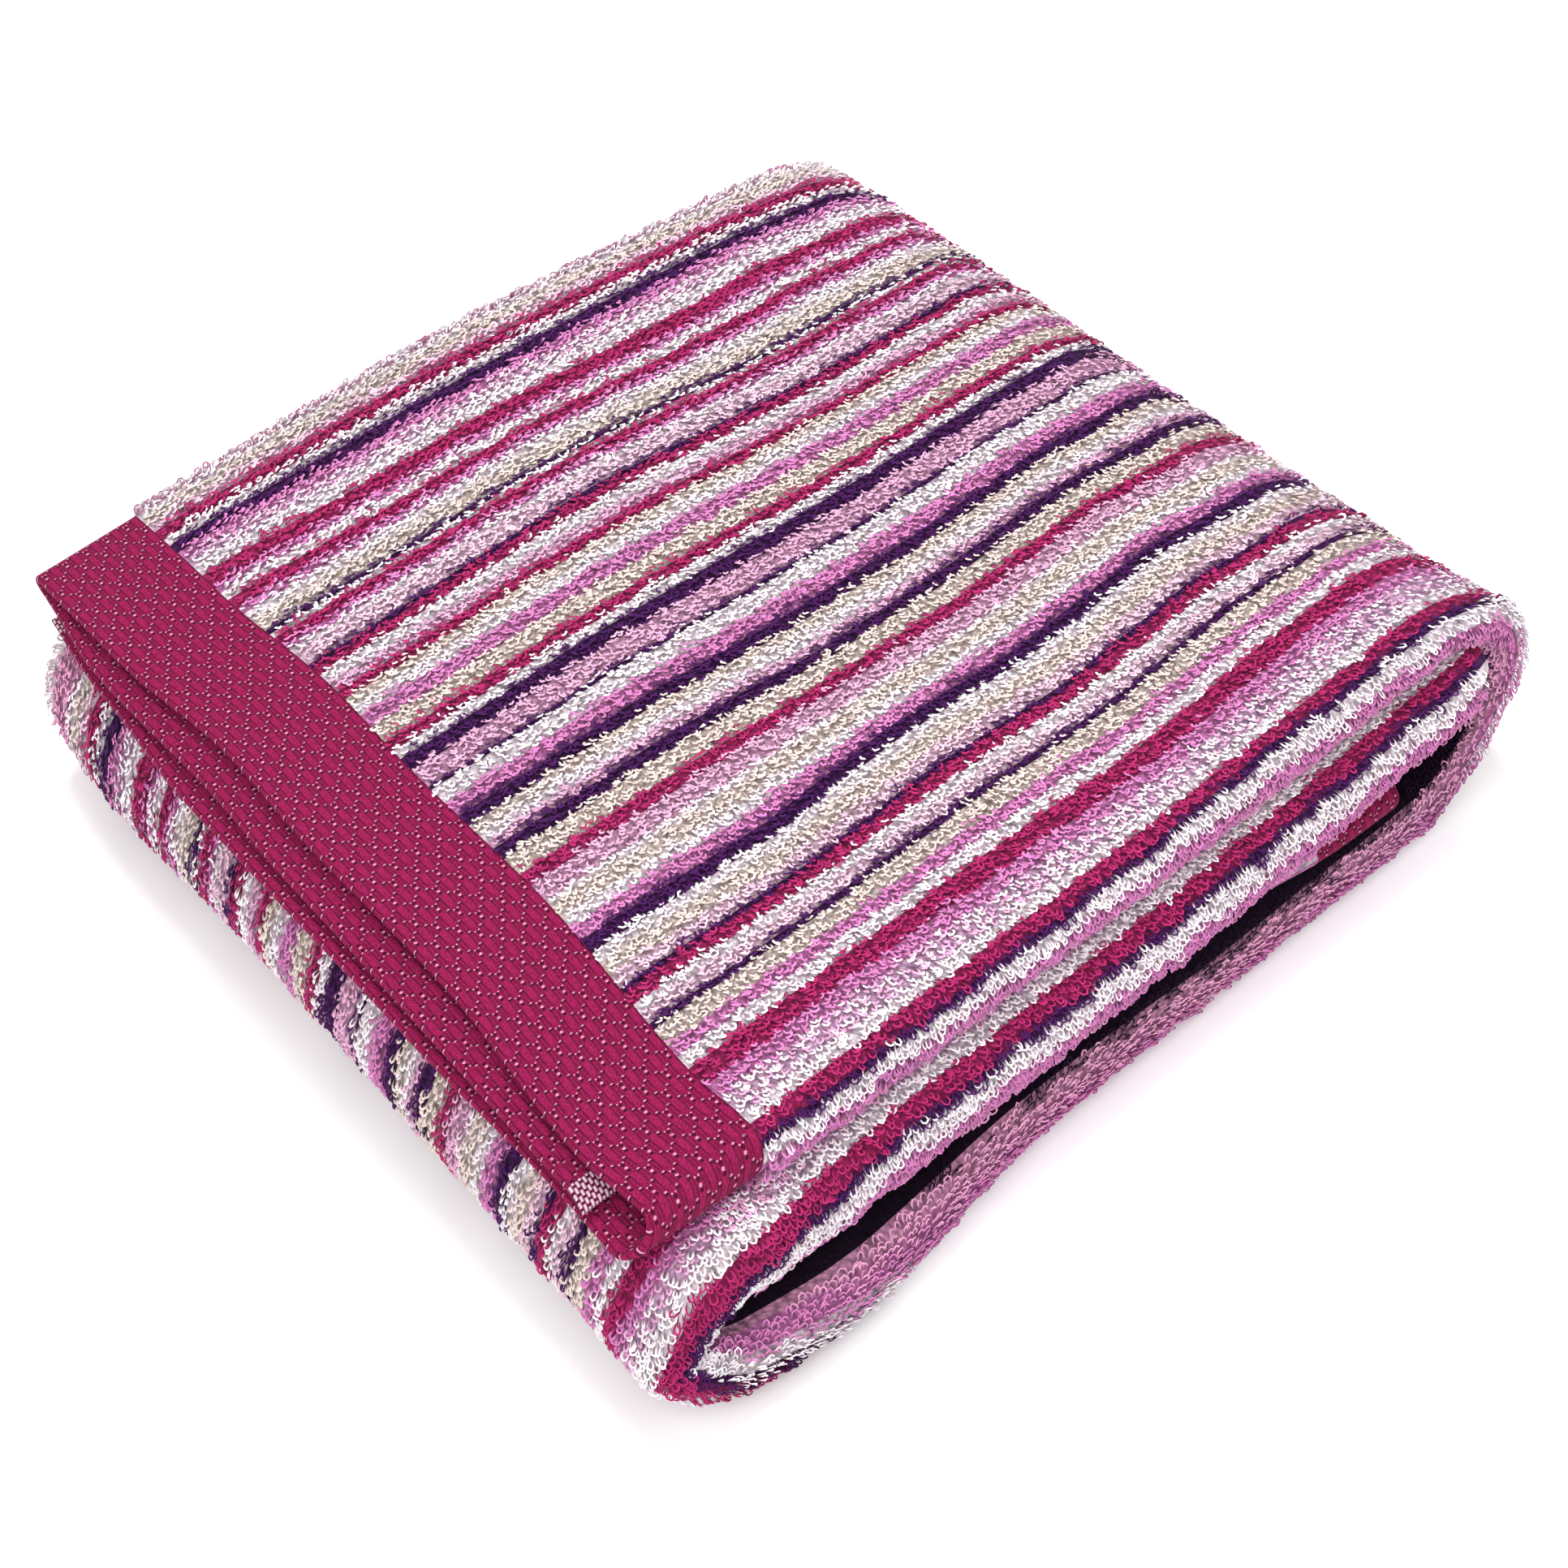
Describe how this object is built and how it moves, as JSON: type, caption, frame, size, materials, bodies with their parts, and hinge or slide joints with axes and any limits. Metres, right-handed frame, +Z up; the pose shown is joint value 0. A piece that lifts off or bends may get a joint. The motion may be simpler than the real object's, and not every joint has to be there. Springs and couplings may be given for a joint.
{
  "type": "folded bath sheet",
  "caption": "Striped terry bath sheet, its width folded in three and the strip rolled flat to a square stack, with the flat woven end border and hem lying on top.",
  "frame": {"origin": "on the surface that the stack lies on, under the middle of its bounding box", "axes": "+Z up, +X along the stripes from the end with the hem to the thick round fold, +Y from the side of the soft open folds to the back folds"},
  "size_m": [0.358, 0.327, 0.0885],
  "materials": {
    "terry": "cotton loop pile in stripes of magenta, plum, pinks, beige and white, with a flat woven magenta end border"
  },
  "bodies": {
    "root": {"bath_sheet": "terry"}
  },
  "joints": []
}
